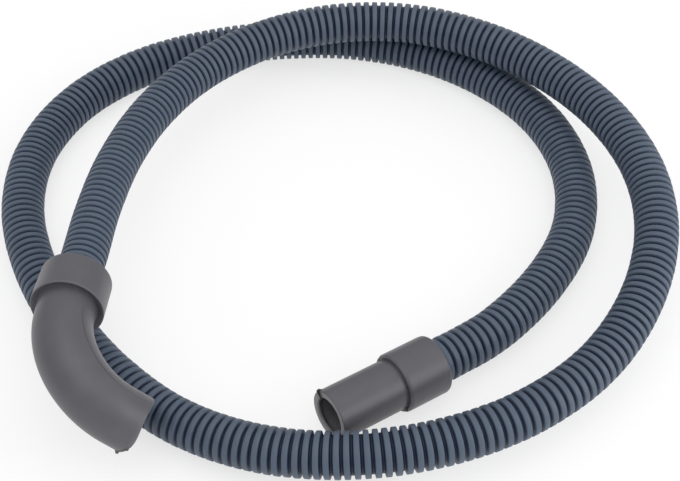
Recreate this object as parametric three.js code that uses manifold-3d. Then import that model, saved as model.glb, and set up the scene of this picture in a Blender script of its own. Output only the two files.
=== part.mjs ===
// Drain hose of a condenser dryer, in millimetres, +Z up, lying on the floor at z = 0.
// A blow-moulded corrugated hose lies in nearly two loose turns. One end is pushed into the
// socket of a rubber elbow, the other into the socket of a straight rubber cuff.
import * as THREE from 'three';
import Module from 'manifold-3d';
import { mergeVertices } from 'three/addons/utils/BufferGeometryUtils.js';

// The hose: its ridges' outside, its valleys' inside, and how far it goes into each socket.
const HOSE_OUTSIDE = 24;
const HOSE_BORE = 19;
const SOCKET_DEPTH = 20;
const LEAD_LENGTH = 18;
const FIT_GAP = 0.3;

// The rubber elbow: a thick collar with the socket, a straight neck, a bend and an outlet.
const ELBOW_COLLAR_OUTSIDE = 37;
const ELBOW_COLLAR_LENGTH = 22;
const ELBOW_TUBE_OUTSIDE = 30.6;
const ELBOW_BORE = 23;
const ELBOW_NECK_LENGTH = 4;
const ELBOW_BEND_RADIUS = 41;
const ELBOW_TURN = THREE.MathUtils.degToRad(90);
const ELBOW_OUTLET_LENGTH = 12;

// The straight cuff: a collar with the socket, then a thinner nozzle.
const CUFF_COLLAR_OUTSIDE = 31.6;
const CUFF_COLLAR_LENGTH = 26.2;
const CUFF_NOZZLE_OUTSIDE = 27.2;
const CUFF_NOZZLE_LENGTH = 38.5;
const CUFF_BORE = 22;

// Edges and facets.
const EDGE_CHAMFER = 1;
const STEP_FILLET = 1.5;
const ROUND_SIDES = 48;
const ELBOW_SIDES = 32;
const ELBOW_STEPS = 26;
const HOSE_SIDES = 12;
const HOSE_STEPS = 80;
const CUT_OVERRUN = 2;

// Where the two sockets' open faces lie, and how each fitting is turned: roll about its own
// axis first, then pitch, then heading. A fitting's own +X runs away from the hose.
const ELBOW_PLACE = [-143, 5, 52];
const ELBOW_HEADING = THREE.MathUtils.degToRad(-130.3);
const ELBOW_PITCH = THREE.MathUtils.degToRad(5.5);
const ELBOW_ROLL = THREE.MathUtils.degToRad(53);
const CUFF_PLACE = [-8.2, -119.8, 15.85];
const CUFF_HEADING = THREE.MathUtils.degToRad(180);
const CUFF_PITCH = THREE.MathUtils.degToRad(4);

// The hose's free run, from the elbow to the cuff, chosen by hand: down from the elbow, over
// the lower turn at the back, round to the floor at the front, under the elbow and round again.
const HOSE_ROUTE = [
  [-109, 46, 48], [-77, 79, 44], [-40, 106, 40.5], [3, 124, 37.5], [50, 127, 37],
  [94, 115, 37], [132, 88, 37], [158, 49, 37], [172, 5, 36.5], [174, -41, 36],
  [163, -86, 34.5], [138, -125, 32.5], [102, -154, 28], [59, -171, 23], [11, -175, 22],
  [-34.5, -166.5, 22], [-76.5, -146.5, 21], [-110.5, -115, 17], [-134, -74, 12.5], [-146, -30, 12],
  [-149, 16, 12], [-144, 62, 12], [-129, 106, 12], [-101, 143, 12], [-61, 167, 12],
  [-16, 174, 12], [30, 166, 12], [73, 147, 12], [111, 120, 12], [140, 84, 12],
  [157, 41, 12], [160, -5, 12], [146, -49, 12], [116, -85, 12.2], [76, -107, 12.6],
  [31, -119, 14],
];

const wasm = await Module();
wasm.setup();

// The same geometry with its shared corners merged, so that it is one closed skin.
function welded(geometry) {
  const skin = geometry.clone();
  skin.deleteAttribute('normal');
  skin.deleteAttribute('uv');
  return mergeVertices(skin, 1e-4);
}

function toSolid(geometry) {
  const skin = welded(geometry);
  return new wasm.Manifold(new wasm.Mesh({
    numProp: 3,
    vertProperties: new Float32Array(skin.attributes.position.array),
    triVerts: new Uint32Array(skin.index.array),
  }));
}

function toGeometry(solid) {
  const mesh = solid.getMesh();
  const geometry = new THREE.BufferGeometry();
  geometry.setAttribute('position', new THREE.BufferAttribute(mesh.vertProperties, 3));
  geometry.setIndex(new THREE.BufferAttribute(mesh.triVerts, 1));
  geometry.computeVertexNormals();
  return geometry;
}

// A profile of [distance along X, radius] pairs, spun about the X axis.
function turned(profile) {
  const points = profile.map(([along, radius]) => new THREE.Vector2(radius, along));
  return new THREE.LatheGeometry(points, ROUND_SIDES).rotateZ(-Math.PI / 2);
}

// A round section with corners on its circle, the first one at the side.
function roundOutline(radius, sides) {
  return Array.from({ length: sides }, (_, i) => {
    const angle = (2 * Math.PI * i) / sides;
    return new THREE.Vector2(radius * Math.cos(angle), radius * Math.sin(angle));
  });
}

// The hose's centreline. Its sections stay level, so that one corner of each points straight
// down and the hose lies on the floor along that line.
class LevelCurve extends THREE.CatmullRomCurve3 {
  computeFrenetFrames(segments) {
    const up = new THREE.Vector3(0, 0, 1);
    const frames = { tangents: [], normals: [], binormals: [] };
    for (let i = 0; i <= segments; i += 1) {
      const tangent = this.getTangentAt(i / segments);
      const normal = new THREE.Vector3().crossVectors(up, tangent).normalize();
      frames.tangents.push(tangent);
      frames.normals.push(normal);
      frames.binormals.push(new THREE.Vector3().crossVectors(tangent, normal));
    }
    return frames;
  }
}

// The elbow's centreline: straight along X, round the bend to -Z, and straight on. It may
// run on past both ends, for a cut.
class ElbowCurve extends THREE.Curve {
  constructor(before, after) {
    super();
    this.before = before;
    this.bend = ELBOW_BEND_RADIUS * ELBOW_TURN;
    this.after = after;
  }

  getPoint(t, target = new THREE.Vector3()) {
    const bendStart = ELBOW_COLLAR_LENGTH + ELBOW_NECK_LENGTH;
    const along = t * (this.before + this.bend + this.after) - this.before;
    const angle = THREE.MathUtils.clamp(along / ELBOW_BEND_RADIUS, 0, ELBOW_TURN);
    const past = Math.min(along, 0) + Math.max(along - this.bend, 0);
    return target.set(
      bendStart + ELBOW_BEND_RADIUS * Math.sin(angle) + past * Math.cos(angle),
      0,
      -ELBOW_BEND_RADIUS * (1 - Math.cos(angle)) - past * Math.sin(angle),
    );
  }
}

function elbowTube(radius, before, after) {
  return new THREE.ExtrudeGeometry(new THREE.Shape(roundOutline(radius, ELBOW_SIDES)), {
    steps: ELBOW_STEPS,
    extrudePath: new ElbowCurve(before, after),
  });
}

function makeElbow(material) {
  const collar = ELBOW_COLLAR_OUTSIDE / 2;
  const neck = ELBOW_TUBE_OUTSIDE / 2;
  const body = toSolid(turned([
    [0, 0],
    [0, collar - EDGE_CHAMFER],
    [EDGE_CHAMFER, collar],
    [ELBOW_COLLAR_LENGTH - EDGE_CHAMFER, collar],
    [ELBOW_COLLAR_LENGTH, collar - EDGE_CHAMFER],
    [ELBOW_COLLAR_LENGTH, neck + STEP_FILLET],
    [ELBOW_COLLAR_LENGTH + STEP_FILLET, neck],
    [ELBOW_COLLAR_LENGTH + STEP_FILLET, 0],
  ]));
  const bend = toSolid(elbowTube(neck, ELBOW_NECK_LENGTH + CUT_OVERRUN, ELBOW_OUTLET_LENGTH));
  const socket = toSolid(turned([
    [-CUT_OVERRUN, 0],
    [-CUT_OVERRUN, HOSE_OUTSIDE / 2 + FIT_GAP],
    [SOCKET_DEPTH, HOSE_OUTSIDE / 2 + FIT_GAP],
    [SOCKET_DEPTH, 0],
  ]));
  const bore = toSolid(elbowTube(
    ELBOW_BORE / 2,
    ELBOW_NECK_LENGTH + ELBOW_COLLAR_LENGTH - SOCKET_DEPTH + CUT_OVERRUN,
    ELBOW_OUTLET_LENGTH + CUT_OVERRUN,
  ));
  const elbow = new THREE.Mesh(toGeometry(body.add(bend).subtract(socket.add(bore))), material);
  elbow.name = 'elbow';
  elbow.position.set(...ELBOW_PLACE);
  elbow.rotation.set(ELBOW_ROLL, -ELBOW_PITCH, ELBOW_HEADING, 'ZYX');
  return elbow;
}

function makeCuff(material) {
  const collar = CUFF_COLLAR_OUTSIDE / 2;
  const nozzle = CUFF_NOZZLE_OUTSIDE / 2;
  const bore = CUFF_BORE / 2;
  const socket = HOSE_OUTSIDE / 2 + FIT_GAP;
  const mouth = CUFF_COLLAR_LENGTH + CUFF_NOZZLE_LENGTH;
  const section = [
    [0, socket],
    [0, collar - EDGE_CHAMFER],
    [EDGE_CHAMFER, collar],
    [CUFF_COLLAR_LENGTH - EDGE_CHAMFER, collar],
    [CUFF_COLLAR_LENGTH, collar - EDGE_CHAMFER],
    [CUFF_COLLAR_LENGTH, nozzle],
    [mouth - EDGE_CHAMFER, nozzle],
    [mouth, nozzle - EDGE_CHAMFER],
    [mouth, bore],
    [SOCKET_DEPTH, bore],
    [SOCKET_DEPTH, socket],
    [0, socket],
  ];
  const cuff = new THREE.Mesh(welded(turned(section)), material);
  cuff.name = 'straight_cuff';
  cuff.position.set(...CUFF_PLACE);
  cuff.rotation.set(0, -CUFF_PITCH, CUFF_HEADING, 'ZYX');
  return cuff;
}

// A fitting's own axis at a distance from its socket's open face, in the part's frame.
function onAxis(fitting, along) {
  fitting.updateMatrixWorld();
  return fitting.localToWorld(new THREE.Vector3(along, 0, 0));
}

function makeHose(elbow, cuff, material) {
  const seat = SOCKET_DEPTH - FIT_GAP;
  const curve = new LevelCurve([
    onAxis(elbow, seat),
    onAxis(elbow, 0),
    onAxis(elbow, -LEAD_LENGTH),
    ...HOSE_ROUTE.map(([x, y, z]) => new THREE.Vector3(x, y, z)),
    onAxis(cuff, -LEAD_LENGTH),
    onAxis(cuff, 0),
    onAxis(cuff, seat),
  ]);
  const section = new THREE.Shape(roundOutline(HOSE_OUTSIDE / 2, HOSE_SIDES));
  section.holes.push(new THREE.Path(roundOutline(HOSE_BORE / 2, HOSE_SIDES)));
  const hose = new THREE.Mesh(
    welded(new THREE.ExtrudeGeometry(section, { steps: HOSE_STEPS, extrudePath: curve })),
    material,
  );
  hose.name = 'corrugated_hose';
  return hose;
}

const rubber = () => new THREE.MeshStandardMaterial({ color: 0x626265, roughness: 0.6, metalness: 0 });
const polypropylene = () => new THREE.MeshStandardMaterial({
  color: 0x586475,
  roughness: 0.45,
  metalness: 0,
});

const assembly = new THREE.Group();
const elbow = makeElbow(rubber());
const cuff = makeCuff(rubber());
assembly.add(elbow, cuff, makeHose(elbow, cuff, polypropylene()));

export default assembly;
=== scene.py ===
# %% [markdown]
# This scene dresses a condenser dryer's drain hose. The real thing is three mouldings: a long
# corrugated hose, a rubber elbow pushed on one end and a straight rubber cuff on the other.
# The solid model gives their places and sizes, and this script gives them their fine surfaces.
# Every surface here is one idea used again: a profile, which is a list of distances and
# radii, carried along a line in space. Only the line and the profile change.

# %% Load the frame
import bpy
import numpy as np
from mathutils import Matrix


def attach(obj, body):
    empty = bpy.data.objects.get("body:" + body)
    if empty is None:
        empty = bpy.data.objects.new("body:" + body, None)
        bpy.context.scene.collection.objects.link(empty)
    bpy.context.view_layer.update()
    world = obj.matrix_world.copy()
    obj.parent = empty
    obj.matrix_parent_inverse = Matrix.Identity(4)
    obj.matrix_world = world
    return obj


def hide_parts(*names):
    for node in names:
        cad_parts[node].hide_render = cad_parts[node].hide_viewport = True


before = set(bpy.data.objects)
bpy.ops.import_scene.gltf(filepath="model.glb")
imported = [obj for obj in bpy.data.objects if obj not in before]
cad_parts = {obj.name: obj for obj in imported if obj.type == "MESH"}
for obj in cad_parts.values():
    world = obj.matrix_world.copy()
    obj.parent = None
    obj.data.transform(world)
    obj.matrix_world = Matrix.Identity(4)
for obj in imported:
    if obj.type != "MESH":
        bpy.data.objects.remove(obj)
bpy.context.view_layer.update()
MM = 0.001

# %% [markdown]
# The camera stands where the photographer stood: about 0.64 m above the floor, looking down
# at 46.5 degrees. A long lens keeps the far turns of the hose almost as wide as the near
# ones. Width against distance on the hose itself is what fixed the height and the lens.

# %% Camera
CAMERA_PLACE = (-0.334, -0.504, 0.636)
CAMERA_DOWN = 46.5
CAMERA_HEADING = 55.2
LENS_MM = 82.0
FILM_WIDTH_MM = 36
SIGHT_REACH = 20

camera = bpy.data.objects.new("camera", bpy.data.cameras.new("camera"))
bpy.context.scene.collection.objects.link(camera)
camera.location = CAMERA_PLACE
camera.rotation_euler = (np.radians(90 - CAMERA_DOWN), 0, np.radians(CAMERA_HEADING - 90))
camera.data.lens = LENS_MM
camera.data.sensor_width = FILM_WIDTH_MM
camera.data.clip_end = SIGHT_REACH
bpy.context.scene.camera = camera
print("camera, m:", CAMERA_PLACE, "looking down, degrees:", CAMERA_DOWN)

# %% [markdown]
# The fittings come first in the numbers, because the hose starts and ends inside them. Each
# one has a place, which is the middle of its socket's open face, and three turns: a roll
# about its own axis, a pitch and a heading. Its own X axis runs away from the hose.

# %% Places of the two fittings
SOCKET_DEPTH = 20 * MM
SEAT_GAP = 0.3 * MM
LEAD_LENGTH = 18 * MM
ELBOW_PLACE = np.array([-143, 5, 52]) * MM
CUFF_PLACE = np.array([-8.2, -119.8, 15.85]) * MM


def turn(roll, pitch, heading):
    """Roll about X, then pitch X upwards, then turn it to its heading, in degrees."""
    a, b, c = np.radians([roll, -pitch, heading])
    about_x = np.array([[1, 0, 0], [0, np.cos(a), -np.sin(a)], [0, np.sin(a), np.cos(a)]])
    about_y = np.array([[np.cos(b), 0, np.sin(b)], [0, 1, 0], [-np.sin(b), 0, np.cos(b)]])
    about_z = np.array([[np.cos(c), -np.sin(c), 0], [np.sin(c), np.cos(c), 0], [0, 0, 1]])
    return about_z @ about_y @ about_x


ELBOW_TURN = turn(53, 5.5, -130.3)
CUFF_TURN = turn(0, 4, 180)
elbow_axis = ELBOW_TURN[:, 0]
cuff_axis = CUFF_TURN[:, 0]
print("elbow axis", elbow_axis.round(3), "cuff axis", cuff_axis.round(3))

# %% [markdown]
# The hose is a fixed length that lies where it was put down. Its route is a short list of
# points that a person can read: down from the elbow, over the lower turn at the back, round
# to the floor at the front, under the elbow and round again to the cuff. A Bezier curve
# object could hold it, but a curve worked out here can be measured and shared by the ridges.

# %% Route of the hose
HOSE_DIAMETER = 24 * MM
HOSE_ROUTE = np.array([
    [-109, 46, 48], [-77, 79, 44], [-40, 106, 40.5], [3, 124, 37.5], [50, 127, 37],
    [94, 115, 37], [132, 88, 37], [158, 49, 37], [172, 5, 36.5], [174, -41, 36],
    [163, -86, 34.5], [138, -125, 32.5], [102, -154, 28], [59, -171, 23], [11, -175, 22],
    [-34.5, -166.5, 22], [-76.5, -146.5, 21], [-110.5, -115, 17], [-134, -74, 12.5], [-146, -30, 12],
    [-149, 16, 12], [-144, 62, 12], [-129, 106, 12], [-101, 143, 12], [-61, 167, 12],
    [-16, 174, 12], [30, 166, 12], [73, 147, 12], [111, 120, 12], [140, 84, 12],
    [157, 41, 12], [160, -5, 12], [146, -49, 12], [116, -85, 12.2], [76, -107, 12.6],
    [31, -119, 14],
]) * MM
seat = SOCKET_DEPTH - SEAT_GAP
route = np.vstack([
    ELBOW_PLACE + seat * elbow_axis, ELBOW_PLACE, ELBOW_PLACE - LEAD_LENGTH * elbow_axis,
    HOSE_ROUTE,
    CUFF_PLACE - LEAD_LENGTH * cuff_axis, CUFF_PLACE, CUFF_PLACE + seat * cuff_axis,
])


def through(points, samples=40):
    """A smooth curve through points: each span is a cubic whose end slopes come from its
    neighbours, weighted by the square root of the spans' lengths (centripetal Catmull-Rom)."""
    ends = np.vstack([2 * points[0] - points[1], points, 2 * points[-1] - points[-2]])
    p0, p1, p2, p3 = ends[:-3], ends[1:-2], ends[2:-1], ends[3:]
    a, b, c = (np.linalg.norm(q, axis=1, keepdims=True) ** 0.5 for q in (p1 - p0, p2 - p1, p3 - p2))
    start = b * ((p1 - p0) / a - (p2 - p0) / (a + b) + (p2 - p1) / b)
    stop = b * ((p2 - p1) / b - (p3 - p1) / (b + c) + (p3 - p2) / c)
    t = np.linspace(0, 1, samples, endpoint=False)[None, :, None]
    p1, p2, start, stop = (q[:, None, :] for q in (p1, p2, start, stop))
    spans = p1 + start * t + (3 * (p2 - p1) - 2 * start - stop) * t**2
    spans = spans + (2 * (p1 - p2) + start + stop) * t**3
    return np.vstack([spans.reshape(-1, 3), points[-1:]])


def distances(points):
    """How far along a chain of points each one lies."""
    return np.concatenate([[0], np.cumsum(np.linalg.norm(np.diff(points, axis=0), axis=1))])


rough = through(route)
rough_far = distances(rough)
SAMPLE_STEP = 1 * MM
even = np.arange(0, rough_far[-1], SAMPLE_STEP)
hose_points = np.stack([np.interp(even, rough_far, rough[:, k]) for k in range(3)], 1)
print("points on the route:", len(hose_points))

# %% [markdown]
# A line is a function: it takes distances and gives, for each, a point and two directions
# across. The hose keeps its cross directions level, one sideways and one upwards, so that
# nothing twists. Rings of points on those directions then make a tube of any radius.

# %% Lines in space
UP = np.array([0.0, 0.0, 1.0])


def unit(vectors):
    """Vectors of the same direction and of length one."""
    return vectors / np.linalg.norm(vectors, axis=-1, keepdims=True)


# The route's points are evened out over six of them to either side, which is 6 mm, and the
# weights are followed out to three times that.
SPREAD = 6
PAD = 3 * SPREAD
weights = np.exp(-0.5 * (np.arange(-PAD, PAD + 1) / SPREAD) ** 2)
weights = weights / weights.sum()


def eased(points):
    """Each point becomes the weighted mean of its neighbours. The chain is first made longer
    at both ends, straight on, so that the ends stay where they are."""
    steps = np.arange(PAD, 0, -1)[:, None]
    before = points[0] - steps * (points[1] - points[0])
    after = points[-1] + steps[::-1] * (points[-1] - points[-2])
    longer = np.vstack([before, points, after])
    return np.stack([np.convolve(longer[:, k], weights, "valid") for k in range(3)], 1)


hose_points = eased(hose_points)
hose_far = distances(hose_points)
hose_length = hose_far[-1]
hose_tangents = unit(np.gradient(hose_points, axis=0))
print("hose length, m:", round(float(hose_length), 3))


def hose_line(far):
    """The hose's points, and the sideways and upward directions across it, at distances far."""
    point = np.stack([np.interp(far, hose_far, hose_points[:, k]) for k in range(3)], 1)
    along = unit(np.stack([np.interp(far, hose_far, hose_tangents[:, k]) for k in range(3)], 1))
    side = unit(np.cross(UP, along))
    return point, side, np.cross(along, side)


ELBOW_BEND_START = 26 * MM
ELBOW_BEND_RADIUS = 41 * MM
ELBOW_BEND = np.radians(90)
ELBOW_OUTLET = 12 * MM
elbow_length = ELBOW_BEND_START + ELBOW_BEND_RADIUS * ELBOW_BEND + ELBOW_OUTLET


def elbow_line(far):
    """Straight to the bend, a quarter circle, and straight on, in the elbow's own turn."""
    past = far - ELBOW_BEND_START
    angle = np.clip(past / ELBOW_BEND_RADIUS, 0, ELBOW_BEND)
    straight = np.minimum(past, 0) + np.maximum(past - ELBOW_BEND_RADIUS * ELBOW_BEND, 0)
    flat = np.zeros_like(far)
    x = ELBOW_BEND_START + ELBOW_BEND_RADIUS * np.sin(angle) + straight * np.cos(angle)
    z = -ELBOW_BEND_RADIUS * (1 - np.cos(angle)) - straight * np.sin(angle)
    point = ELBOW_PLACE + np.stack([x, flat, z], 1) @ ELBOW_TURN.T
    side = np.stack([flat, flat + 1, flat], 1) @ ELBOW_TURN.T
    top = np.stack([np.sin(angle), flat, np.cos(angle)], 1) @ ELBOW_TURN.T
    return point, side, top


def cuff_line(far):
    """A straight line from the socket's face, with its cross directions."""
    point = CUFF_PLACE + far[:, None] * cuff_axis
    side = np.broadcast_to(CUFF_TURN[:, 1], point.shape)
    top = np.broadcast_to(CUFF_TURN[:, 2], point.shape)
    return point, side, top


# %% [markdown]
# A moulding is a closed skin: out along the outside, over the rim, back through the bore and
# over the first rim again. So a profile here is a loop, and each of its points becomes one
# ring. Joining ring to ring and the last to the first leaves no open edge anywhere.

# %% Skins from profiles


def ring_angles(sides):
    """The angles of a ring's points."""
    return 2 * np.pi * np.arange(sides) / sides


def skin(line, far, radius, sides, push=0.0):
    """Ring i is at distance far[i]. Its point j is the line's point plus the radius times
    the cosine of angle j sideways and its sine upwards, plus a push along the line. radius
    and push have a row per ring, and one column for all angles or one for each."""
    point, side, top = line(far)
    angle = ring_angles(sides)
    shape = (len(far), sides)
    radius = np.broadcast_to(radius.reshape(len(far), -1), shape)[..., None]
    push = np.broadcast_to(push, shape)[..., None]
    cosine = np.cos(angle)[None, :, None]
    sine = np.sin(angle)[None, :, None]
    across = cosine * side[:, None] + sine * top[:, None]
    return (point[:, None] + radius * across + push * np.cross(side, top)[:, None]).reshape(-1, 3)


def loop_faces(rings, sides):
    """Four-cornered faces between each ring and the next, closing both ways."""
    i, j = np.meshgrid(np.arange(rings), np.arange(sides), indexing="ij")
    after, beside = (i + 1) % rings, (j + 1) % sides
    corners = [i * sides + j, after * sides + j, after * sides + beside, i * sides + beside]
    return np.stack(corners, -1).reshape(-1, 4)


def volume(points, faces):
    """The signed volume inside the faces: a sixth of the sum of each triangle's triple product."""
    a, b, c, d = (points[faces[:, k]] for k in range(4))
    return float((np.cross(a, b) * c + np.cross(a, c) * d).sum() / 6)


def add_piece(name, line, profile, sides, material, push=0.0):
    """A mesh object at the origin, made of a profile's far and radius carried along a line,
    with its faces turned outwards and smooth."""
    far, radius = profile
    points = skin(line, far, radius, sides, push)
    faces = loop_faces(len(far), sides)
    if volume(points, faces) < 0:
        faces = faces[:, ::-1]
    mesh = bpy.data.meshes.new(name)
    mesh.from_pydata(points.tolist(), [], faces.tolist())
    mesh.polygons.foreach_set("use_smooth", np.ones(len(faces), bool))
    mesh.materials.append(material)
    mesh.update()
    piece = bpy.data.objects.new(name, mesh)
    bpy.context.scene.collection.objects.link(piece)
    print(name, "faces:", len(faces), "volume, cm3:", round(abs(volume(points, faces)) * 1e6, 1))
    return piece


def add_values(piece, name, values):
    """One number for each of the mesh's points, for its material to read."""
    piece.data.attributes.new(name, "FLOAT", "POINT").data.foreach_set("value", values.ravel())


# %% [markdown]
# Materials are made of nodes. Colours are written as they look on a screen, so one function
# turns them into the linear values that light works in, and one adds a node. A noise pattern
# is given the real size of one of its patches, and its scale is how many fit in a metre.

# %% Helpers for materials


def linear(code):
    """An sRGB colour such as #5c6878 as linear red, green, blue and alpha."""
    srgb = np.array([int(code[i : i + 2], 16) for i in (1, 3, 5)]) / 255
    low = srgb / 12.92
    high = ((srgb + 0.055) / 1.055) ** 2.4
    return [*np.where(srgb <= 0.04045, low, high).tolist(), 1.0]


def node(tree, kind, inputs=None, **settings):
    """Add a node, set its settings, and link or set its inputs."""
    made = tree.nodes.new(kind)
    for key, value in settings.items():
        setattr(made, key, value)
    for key, value in (inputs or {}).items():
        if isinstance(value, bpy.types.NodeSocket):
            tree.links.new(value, made.inputs[key])
        else:
            made.inputs[key].default_value = value
    return made


def new_material(name):
    """An empty material: its node tree, and the material."""
    material = bpy.data.materials.new(name)
    material.use_nodes = True
    material.node_tree.nodes.clear()
    print("material:", name)
    return material.node_tree, material


def mixed(tree, share, first, second):
    """The colour that goes from first to second as share goes from none to all."""
    mix = node(
        tree, "ShaderNodeMix", {"Factor": share, "A": first, "B": second}, data_type="RGBA",
    )
    return mix.outputs["Result"]


def patches(tree, size, detail):
    """A noise on the object's own coordinates, in patches of a size in metres."""
    place = node(tree, "ShaderNodeTexCoord")
    noise = node(
        tree, "ShaderNodeTexNoise",
        {"Vector": place.outputs["Object"], "Scale": 1 / size, "Detail": detail},
    )
    return noise.outputs["Fac"]


# %% [markdown]
# The hose is polypropylene, blown against a ridged mould while it is still soft. It comes out
# satin: a broad, gentle shine on the ridge tops. The grooves look almost black, because
# they are narrow and deep and little light gets out of them. That shade is painted: the
# colour goes from a painted shade at the groove's floor to the ridge's colour at its top.
# The mould's own grain is a few hundredths of a millimetre. Here it is drawn much coarser, so
# that it breaks up the shine at the size of the picture.

# %% Polypropylene, blow-moulded
RIDGE_COLOUR = "#4b5667"
RIDGE_PALE = "#546070"
# The groove colour is painted shade, for the dark inside the grooves.
GROOVE_PAINTED_SHADE = "#152138"
HOSE_CLOUD = 16.667 * MM
HOSE_GRAIN = 0.6667 * MM
GRAIN_DEPTH = 0.1 * MM


def make_polypropylene():
    tree, material = new_material("polypropylene_blow_moulded")
    height = node(tree, "ShaderNodeAttribute", attribute_name="height")
    cloud = patches(tree, HOSE_CLOUD, 3.0)
    tops = mixed(tree, cloud, linear(RIDGE_COLOUR), linear(RIDGE_PALE))
    depth = node(
        tree, "ShaderNodeMapRange",
        {"Value": height.outputs["Fac"], "From Min": 0.05, "From Max": 0.75},
        interpolation_type="SMOOTHSTEP",
    )
    # Painted shade: the colour darkens towards each groove's floor.
    colour = mixed(tree, depth.outputs["Result"], linear(GROOVE_PAINTED_SHADE), tops)
    grain = patches(tree, HOSE_GRAIN, 2.0)
    bump = node(
        tree, "ShaderNodeBump", {"Height": grain, "Strength": 0.15, "Distance": GRAIN_DEPTH},
    )
    surface = node(
        tree, "ShaderNodeBsdfPrincipled",
        {"Base Color": colour, "Roughness": 0.46, "IOR": 1.49,
         "Specular IOR Level": 0.32, "Normal": bump.outputs["Normal"]},
    )
    node(tree, "ShaderNodeOutputMaterial", {"Surface": surface.outputs["BSDF"]})
    return material


# %% [markdown]
# Each ridge has eight rings: up a steep wall, round a small corner, along the flat top, and
# down again. Such a hose is springy along its length, so it lies a little stretched in some
# places and squeezed in others. The pitch is given at a few places, and one over the pitch,
# added up along the hose, counts the ridges. Each whole number is the edge of a ridge.

# %% The ridged hose
PITCH_PLACES = [
    0.0, 0.06, 0.20, 0.34, 0.42, 0.56, 0.64, 0.72, 0.83, 0.94, 1.14, 1.25, 1.32, 1.42, 1.56, 1.68,
]
PITCHES = np.array([
    4.2, 4.3, 4.6, 4.9, 4.7, 4.4, 4.4, 5.0, 4.7, 4.9, 4.2, 4.8, 4.6, 4.9, 4.4, 4.8,
]) * MM
RIDGE_TOP = HOSE_DIAMETER / 2
GROOVE_FLOOR = 9.9 * MM
HOSE_BORE = 9.2 * MM
# No two ridges are blown quite equally high.
SHORTEST_BY = 0.12 * MM
SEED = 7
HOSE_SIDES = 30
BORE_RINGS = 120
COUNTING_STEPS = 4000
# Where the eight rings lie in one pitch, and how high they stand between floor and top.
RING_PLACES = np.array([0.175, 0.20, 0.228, 0.262, 0.738, 0.772, 0.80, 0.825])
RING_HEIGHTS = np.array([0.0, 0.78, 0.96, 1.0, 1.0, 0.96, 0.78, 0.0])


def make_hose(material):
    """The count of ridges at a distance is the sum of each small step over its pitch."""
    sample = np.linspace(0, hose_length, COUNTING_STEPS)
    pitch = np.interp(sample, PITCH_PLACES, PITCHES)
    count = np.concatenate([[0], np.cumsum(np.diff(sample) / pitch[1:])])
    ridges = int(count[-1])
    edges = np.interp(np.linspace(0, count[-1], ridges + 1), count, sample)
    random = np.random.default_rng(SEED)
    tops = RIDGE_TOP - SHORTEST_BY * random.random((ridges, 1))
    far = (edges[:-1, None] + np.diff(edges)[:, None] * RING_PLACES).ravel()
    radius = (GROOVE_FLOOR + (tops - GROOVE_FLOOR) * RING_HEIGHTS).ravel()
    bore = np.linspace(hose_length, 0, BORE_RINGS)
    far = np.concatenate([far, [hose_length], bore])
    radius = np.concatenate([radius, [GROOVE_FLOOR], np.full(BORE_RINGS, HOSE_BORE)])
    piece = add_piece("ridged_hose", hose_line, (far, radius), HOSE_SIDES, material)
    height = np.clip((radius - GROOVE_FLOOR) / (RIDGE_TOP - GROOVE_FLOOR), 0, 1)
    add_values(piece, "height", np.repeat(height, HOSE_SIDES))
    print("ridges:", ridges, "mean pitch, mm:", round(float(hose_length / ridges / MM), 2))
    return piece


hose = make_hose(make_polypropylene())

# %% [markdown]
# The fittings are rubber, pressed in a two-part mould. Rubber is dull but not chalky: light
# spreads into a soft, wide gleam. The mould leaves a faint skin of fine grain, drawn coarser
# here as on the hose, and talc and handling leave a slight cloudiness. Two attributes mix in
# other colours. A pale one is painted light on the cuff's rim and bore and a painted highlight
# on the elbow's collar edge, and it colours one patch at the elbow's mouth paler. A dark one
# marks burrs, the torn lip and the seam, and is painted shade in the hollow inside the cuff's rim.

# %% Rubber, compression moulded
RUBBER_COLOUR = "#4c4b51"
RUBBER_PALE = "#59585e"
# The pale colour is painted light and a painted highlight, and a paler patch at the elbow's mouth.
PALER_AND_LIGHT_COLOUR = "#838285"
# The dark colour marks burrs, the torn lip and the seam, and is painted shade in the cuff's hollow.
DARK_MARK_AND_SHADE_COLOUR = "#15120f"
RUBBER_CLOUD = 11.111 * MM
RUBBER_GRAIN = 0.8333 * MM


def make_rubber():
    tree, material = new_material("rubber_compression_moulded")
    cloud = patches(tree, RUBBER_CLOUD, 4.0)
    body = mixed(tree, cloud, linear(RUBBER_COLOUR), linear(RUBBER_PALE))
    # The pale attribute brings in painted light, the dark one painted shade as well as dark marks.
    paler_and_painted_light = node(tree, "ShaderNodeAttribute", attribute_name="paler_and_painted_light")
    paled_and_lit = mixed(tree, paler_and_painted_light.outputs["Fac"], body, linear(PALER_AND_LIGHT_COLOUR))
    dark_marks_and_painted_shade = node(tree, "ShaderNodeAttribute", attribute_name="dark_marks_and_painted_shade")
    colour = mixed(tree, dark_marks_and_painted_shade.outputs["Fac"], paled_and_lit, linear(DARK_MARK_AND_SHADE_COLOUR))
    grain = patches(tree, RUBBER_GRAIN, 2.0)
    bump = node(
        tree, "ShaderNodeBump", {"Height": grain, "Strength": 0.2, "Distance": GRAIN_DEPTH},
    )
    surface = node(
        tree, "ShaderNodeBsdfPrincipled",
        {"Base Color": colour, "Roughness": 0.4, "IOR": 1.5, "Normal": bump.outputs["Normal"]},
    )
    node(tree, "ShaderNodeOutputMaterial", {"Surface": surface.outputs["BSDF"]})
    return material


rubber = make_rubber()

# %% [markdown]
# A moulded edge is never sharp, and its small radius catches a line of light. So each corner
# of a profile is replaced by a short arc. The straight parts between are cut into steps, so
# that a bend or a nick has rings to work with.

# %% Rounded profiles


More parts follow.
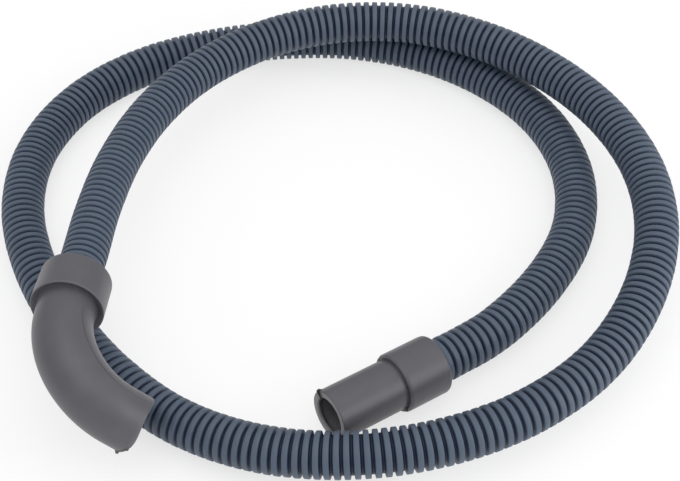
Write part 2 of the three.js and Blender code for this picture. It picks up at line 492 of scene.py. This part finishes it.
def rounded(corners, steps=5):
    """corners are rows of distance, radius and rounding. Each corner becomes a short curve
    from the rounding's length before it to the same after it, as a quadratic Bezier."""
    spots, rounding = corners[:, :2], corners[:, 2:]
    back = unit(np.roll(spots, 1, axis=0) - spots) * rounding
    on = unit(np.roll(spots, -1, axis=0) - spots) * rounding
    t = np.linspace(0, 1, steps)[None, :, None]
    a, b, c = (spots + back)[:, None], spots[:, None], (spots + on)[:, None]
    return ((1 - t) ** 2 * a + 2 * t * (1 - t) * b + t**2 * c).reshape(-1, 2)


def stepped(profile, longest):
    """Points added evenly so that no step of the closed profile is longer than longest."""
    loop = np.vstack([profile, profile[:1]])
    lengths = np.linalg.norm(np.diff(loop, axis=0), axis=1)
    parts = np.maximum(1, np.ceil(lengths / longest)).astype(int)
    keep = np.repeat(np.arange(len(parts)), parts)
    part = np.arange(parts.sum()) - np.repeat(np.cumsum(parts) - parts, parts)
    share = (part / parts[keep])[:, None]
    return loop[keep] + share * (loop[keep + 1] - loop[keep])


FITTING_SIDES = 144
PROFILE_STEP = 1.6 * MM
degrees = np.degrees(ring_angles(FITTING_SIDES))

# %% [markdown]
# Where the two halves of a mould meet, rubber is squeezed into the gap. It leaves a fine line
# along the part, and at the ends a burr: a thin dark fin that should have been trimmed off.
# Each is a bump on the ring's angles, which raises the skin there or pushes it along. How far
# it reaches along the part is a second curve, on the distance, and the two are multiplied.

# %% Mould lines and burrs
SEAM_HEIGHT = 0.14 * MM
SEAM_WIDTH = 1.6
# The fittings' outsides are wider than this, and their bores and sockets narrower.
OUTSIDE_FROM = 13.2 * MM


def bell(apart, width):
    """exp of minus the square of apart over width: one at nought, and almost gone at twice
    the width."""
    return np.exp(-((apart / width) ** 2))


def bump_at(centre, width):
    """A bell on a ring's angles about an angle, both in degrees, the short way round."""
    return bell((degrees - centre + 180) % 360 - 180, width)


def fading(distance, full, gone):
    """One up to the distance full, and evenly down from there to nothing at gone."""
    return np.clip((gone - distance) / (gone - full), 0, 1)


def seam(radius, place):
    """A fine line on the outside at an angle and at the opposite one."""
    line = SEAM_HEIGHT * (bump_at(place, SEAM_WIDTH) + bump_at(place + 180, SEAM_WIDTH))
    return np.where(radius > OUTSIDE_FROM, line, 0)


# %% [markdown]
# The elbow is one moulding: a thick collar that the hose goes into, a dished step face that
# stays in its own shade, and a bent tube that swells a little after the neck. Its profile
# loops from the collar's face along the outside to the mouth and back through the bore.
# Carrying that loop along a bent line bends the moulding, with no lattice. The mouth was cut
# by hand, so it is shorter on two sides, and its lip is torn between them, with a tooth of
# rubber left standing. All angles are in degrees round the tube.

# %% The elbow
ELBOW_SEAM = 350
ELBOW_STEP = 22.2 * MM
COLLAR_FROM = 18 * MM
# What is done to the lip is whole up to the first distance from the mouth and gone at the
# second.
LIP_REACH = (1.6 * MM, 2.6 * MM)
# Two sides of the mouth: the angle, how wide it is, and how much is cut away there.
MOUTH_CUTS = ((28, 46, 3.0 * MM), (130, 38, 2.5 * MM))
MOUTH_CUTS_REACH = 12 * MM
# The torn lip: its angle, how wide it is, and the height of its waves. They turn by 0.9
# radians for each degree round the tube, which makes one every seven degrees.
TORN_LIP = 110
TORN_WIDTH = 18
TORN_HEIGHT = 0.3 * MM
TORN_WAVES = 0.9
TORN_DARK = 2.0
TORN_DARK_WIDTH = 13
# A crumb at one end of it, and the tooth at the other: angle, width and height.
CRUMB = (98, 3, 0.6 * MM)
TOOTH = (130, 5, 1.3 * MM)
# The patch of the lip that is coloured paler, and the painted highlight line on the collar's far
# edge.
PALER_PATCH = (72, 30)
PALER_REACH = 3.5 * MM
PALER_SHARE = 0.35
EDGE_WIDTH = 0.8 * MM
EDGE_PAINTED_HIGHLIGHT = 0.25
# The seam's dark line: how dark and how wide it is, the two distances between which it
# grows in after the neck, and the two distances from the mouth where it is gone and whole.
SEAM_DARK = 0.4
SEAM_DARK_WIDTH = 2
SEAM_GROWS = (ELBOW_BEND_START, ELBOW_BEND_START + 10 * MM)
SEAM_ENDS = (7.5 * MM, 32.5 * MM)


def make_elbow(material):
    """Rows of corners are distance, radius and rounding in millimetres. The profile's radius
    has the seam and the tooth added, and the cuts, the tear and the crumb push it along."""
    mouth = elbow_length / MM
    corners = np.array([
        [0, 12.3, 0.3], [0, 18.4, 1.1], [22.2, 18.7, 0.7], [21.8, 17.8, 0.3], [20.6, 15.1, 0.5],
        [27, 14.8, 3.0], [54, 15.4, 10], [mouth - 1.5, 15.3, 0.1], [mouth, 15.3, 0.5],
        [mouth, 12.3, 0.5], [mouth - 2, 11.6, 0.6], [20, 11.5, 0.2], [20, 12.3, 0.2],
    ]) * MM
    far, radius = stepped(rounded(corners), PROFILE_STEP).T[..., None]
    from_mouth = elbow_length - far
    outside = radius > OUTSIDE_FROM
    at_lip = fading(from_mouth, *LIP_REACH)
    cut = sum(depth * bump_at(place, width) for place, width, depth in MOUTH_CUTS)
    tear = TORN_HEIGHT * np.sin(degrees * TORN_WAVES) * bump_at(TORN_LIP, TORN_WIDTH)
    tear = tear + CRUMB[2] * bump_at(*CRUMB[:2])
    push = tear * at_lip - cut * fading(from_mouth, 0, MOUTH_CUTS_REACH) ** 2
    tooth = TOOTH[2] * bump_at(*TOOTH[:2]) * at_lip * outside
    shape = radius + seam(radius, ELBOW_SEAM) + tooth
    piece = add_piece(
        "rubber_elbow", elbow_line, (far.ravel(), shape), FITTING_SIDES, material, push,
    )
    on_bend = (1 - fading(far, *SEAM_GROWS)) * (1 - fading(from_mouth, *SEAM_ENDS))
    parting = SEAM_DARK * outside * on_bend * bump_at(ELBOW_SEAM, SEAM_DARK_WIDTH)
    torn = TORN_DARK * at_lip * bump_at(TORN_LIP, TORN_DARK_WIDTH)
    add_values(piece, "dark_marks_and_painted_shade", np.clip(torn + parting, 0, 1))
    # A painted highlight along the collar's far edge, and a paler patch at the mouth.
    painted_edge_highlight = bell(far - ELBOW_STEP, EDGE_WIDTH) * (radius > COLLAR_FROM)
    pale = fading(from_mouth, 0, PALER_REACH) * bump_at(*PALER_PATCH)
    add_values(piece, "paler_and_painted_light", PALER_SHARE * pale + EDGE_PAINTED_HIGHLIGHT * painted_edge_highlight)
    return piece


elbow = make_elbow(rubber)

# %% [markdown]
# The straight cuff is turned rather than bent: a collar, a fine groove at the step where the
# two diameters meet, and a nozzle with a flat rim, which is painted pale as painted light. Just
# inside the rim a thin lip seals on the spigot, and the hollow behind it is painted dark as
# painted shade. The bore near the mouth gets painted light too. One burr stands across the rim,
# with a darker stripe coloured on the rim round it, and one is in the corner of the step.

# %% The straight cuff
CUFF_SEAM = 150
CUFF_STEP = 26.2 * MM
CUFF_MOUTH = 65.5 * MM
# The bore is narrower than this, and near the mouth it is painted paler, as painted light for the
# light that gets in.
BORE_BELOW = 12 * MM
BORE_PAINTED_LIGHT = 0.6
BORE_REACH = (12.5 * MM, 37.5 * MM)
# The rim's face is narrower than this, and everything on it is this near the mouth. The face gets
# painted light.
FACE_BELOW = 13.3 * MM
FACE_REACH = 2.5 * MM
FACE_PAINTED_LIGHT = 0.9
# The rim's burr: its angle and width, the two distances from the mouth where it is whole
# and gone, and how far it stands out, hangs in and sticks forward. Then the darker stripe
# that is coloured on the rim round it.
RIM_BURR = (142, 5)
RIM_REACH = (1.4 * MM, 2.4 * MM)
BURR_OUT = 1.0 * MM
BURR_IN = 0.8 * MM
BURR_FORWARD = 0.5 * MM
RIM_MIDDLE = 12.9 * MM
SLIVER = (139, 12)
SLIVER_DARK = 1.4
# The burr in the step's corner, which lies between these two radii, opposite the seam.
STEP_BURR = (CUFF_SEAM + 180, 3.2)
STEP_BURR_HEIGHT = 1.6 * MM
STEP_BURR_DARK = 1.3
STEP_WIDTH = 0.9 * MM
CORNER_FROM = 12.5 * MM
CORNER_BELOW = 14.6 * MM
# Painted shade in the hollow behind the sealing lip: how far in it is, how wide, and how dark.
HOLLOW_DEPTH = 2.0 * MM
HOLLOW_WIDTH = 0.9 * MM
HOLLOW_PAINTED_SHADE = 0.6


def make_cuff(material):
    """Rows of corners are distance, radius and rounding in millimetres. The profile's radius
    has the seam and the two burrs added."""
    corners = np.array([
        [0, 12.3, 0.3], [0, 15.0, 0.4], [0.8, 15.8, 0.5], [25.2, 15.8, 0.8], [26.2, 14.9, 0.4],
        [25.7, 13.3, 0.2], [26.8, 13.3, 0.3], [29.2, 13.55, 1.0], [64.4, 13.6, 0.1],
        [65.5, 13.6, 0.4], [65.5, 10.3, 0.3], [64.9, 9.8, 0.3], [63.9, 9.8, 0.3],
        [63.0, 11.3, 0.4], [20, 11, 0.2], [20, 12.3, 0.2],
    ]) * MM
    far, radius = stepped(rounded(corners), PROFILE_STEP).T[..., None]
    from_mouth = CUFF_MOUTH - far
    in_bore = radius < BORE_BELOW
    on_face = (radius < FACE_BELOW) & (from_mouth < FACE_REACH)
    at_rim = fading(from_mouth, *RIM_REACH)
    in_corner = (radius > CORNER_FROM) & (radius < CORNER_BELOW)
    rim_burr = at_rim * bump_at(*RIM_BURR)
    step_burr = bell(far - CUFF_STEP, STEP_WIDTH) * in_corner * bump_at(*STEP_BURR)
    lift = np.where(radius > RIM_MIDDLE, BURR_OUT, -BURR_IN) * rim_burr
    shape = radius + seam(radius, CUFF_SEAM) + lift + STEP_BURR_HEIGHT * step_burr
    piece = add_piece(
        "rubber_cuff", cuff_line, (far.ravel(), shape), FITTING_SIDES, material,
        BURR_FORWARD * rim_burr * on_face,
    )
    # Painted shade in the hollow behind the sealing lip.
    hollow = HOLLOW_PAINTED_SHADE * in_bore * bell(from_mouth - HOLLOW_DEPTH, HOLLOW_WIDTH)
    dark = SLIVER_DARK * at_rim * bump_at(*SLIVER) + STEP_BURR_DARK * step_burr + hollow
    add_values(piece, "dark_marks_and_painted_shade", np.clip(dark, 0, 1))
    # Painted light on the rim's face and in the bore near the mouth.
    pale = np.where(on_face, FACE_PAINTED_LIGHT, BORE_PAINTED_LIGHT * in_bore * fading(from_mouth, *BORE_REACH))
    add_values(piece, "paler_and_painted_light", np.broadcast_to(pale, shape.shape))
    return piece


cuff = make_cuff(rubber)

# %% [markdown]
# Each piece hangs on the frame's root and takes the place of its solid, which is hidden. The
# hose leaves the object at the elbow's collar, and its far end is in the cuff.

# %% Fixing the pieces to the frame
for piece, solid, material_slot in (
    (hose, "corrugated_hose", "hose_plastic"),
    (elbow, "elbow", "end_rubber"),
    (cuff, "straight_cuff", "end_rubber"),
):
    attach(piece, "root")
    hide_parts(solid)
    print(piece.name, "takes the place of", solid)

# %% [markdown]
# The floor and the backdrop are one white sheet, as on a photographer's light table. To the
# eye and to shiny surfaces a part of its white is its own glow, so that the shadow on it
# stays pale. Light that bounces meets plain white paper.

# %% Floor
WHITE = "#ffffff"
PAPER_GLOW = 0.68
FLOOR_HALF = 6.0


def make_floor():
    tree, material = new_material("white_paper_sheet")
    path = node(tree, "ShaderNodeLightPath")
    seen = node(
        tree, "ShaderNodeMath",
        {0: path.outputs["Is Camera Ray"], 1: path.outputs["Is Glossy Ray"]}, operation="MAXIMUM",
    )
    share = node(tree, "ShaderNodeMath", {0: seen.outputs[0], 1: PAPER_GLOW}, operation="MULTIPLY")
    paper = node(tree, "ShaderNodeBsdfDiffuse", {"Color": linear(WHITE)})
    glow = node(tree, "ShaderNodeEmission", {"Color": linear(WHITE), "Strength": 1.0})
    surface = node(
        tree, "ShaderNodeMixShader",
        {0: share.outputs[0], 1: paper.outputs["BSDF"], 2: glow.outputs["Emission"]},
    )
    node(tree, "ShaderNodeOutputMaterial", {"Surface": surface.outputs["Shader"]})
    corners = np.array([[-1, -1, 0], [1, -1, 0], [1, 1, 0], [-1, 1, 0]]) * FLOOR_HALF
    mesh = bpy.data.meshes.new("floor")
    mesh.from_pydata(corners.tolist(), [], [[0, 1, 2, 3]])
    mesh.materials.append(material)
    floor = bpy.data.objects.new("floor", mesh)
    bpy.context.scene.collection.objects.link(floor)


make_floor()

# %% [markdown]
# Soft studio light: one broad lamp above, which lights the ridge tops, one at the right and
# low down, whose gleam runs along both fittings and leaves their left sides darker, and white
# surroundings that are brightest overhead. The dimmer horizon is what lets a grey tube show
# its roundness between a lit top and the paper.

# %% Lights and surroundings


def add_lamp(name, place, size, watts):
    """A square lamp at a place, turned to face the middle of the hose."""
    lamp = bpy.data.objects.new(name, bpy.data.lights.new(name, "AREA"))
    lamp.data.energy = watts
    lamp.data.size = size
    lamp.location = place
    back = unit(np.array(place, float))
    tilt = np.arccos(back[2])
    lamp.rotation_euler = (0, tilt, np.arctan2(back[1], back[0]))
    bpy.context.scene.collection.objects.link(lamp)
    print(name, "watts:", watts, "degrees above the floor:", round(90 - np.degrees(tilt)))


add_lamp("lamp_above", place=(-0.2, -0.3, 1.6), size=1.4, watts=4.4)
add_lamp("lamp_right", place=(0.9, -1.25, 0.6), size=1.2, watts=9.5)

HORIZON_LIGHT = 0.56
OVERHEAD_LIGHT = 0.95
world = bpy.data.worlds.new("studio")
bpy.context.scene.world = world
world.use_nodes = True
world.node_tree.nodes.clear()
direction = node(world.node_tree, "ShaderNodeTexCoord")
height = node(world.node_tree, "ShaderNodeSeparateXYZ", {"Vector": direction.outputs["Generated"]})
strength = node(
    world.node_tree, "ShaderNodeMapRange",
    {"Value": height.outputs["Z"], "From Min": 0.0, "From Max": 1.0,
     "To Min": HORIZON_LIGHT, "To Max": OVERHEAD_LIGHT},
    interpolation_type="SMOOTHSTEP",
)
surround = node(
    world.node_tree, "ShaderNodeBackground",
    {"Color": linear(WHITE), "Strength": strength.outputs["Result"]},
)
node(world.node_tree, "ShaderNodeOutputWorld", {"Surface": surround.outputs["Background"]})
bpy.context.scene.view_settings.view_transform = "Standard"
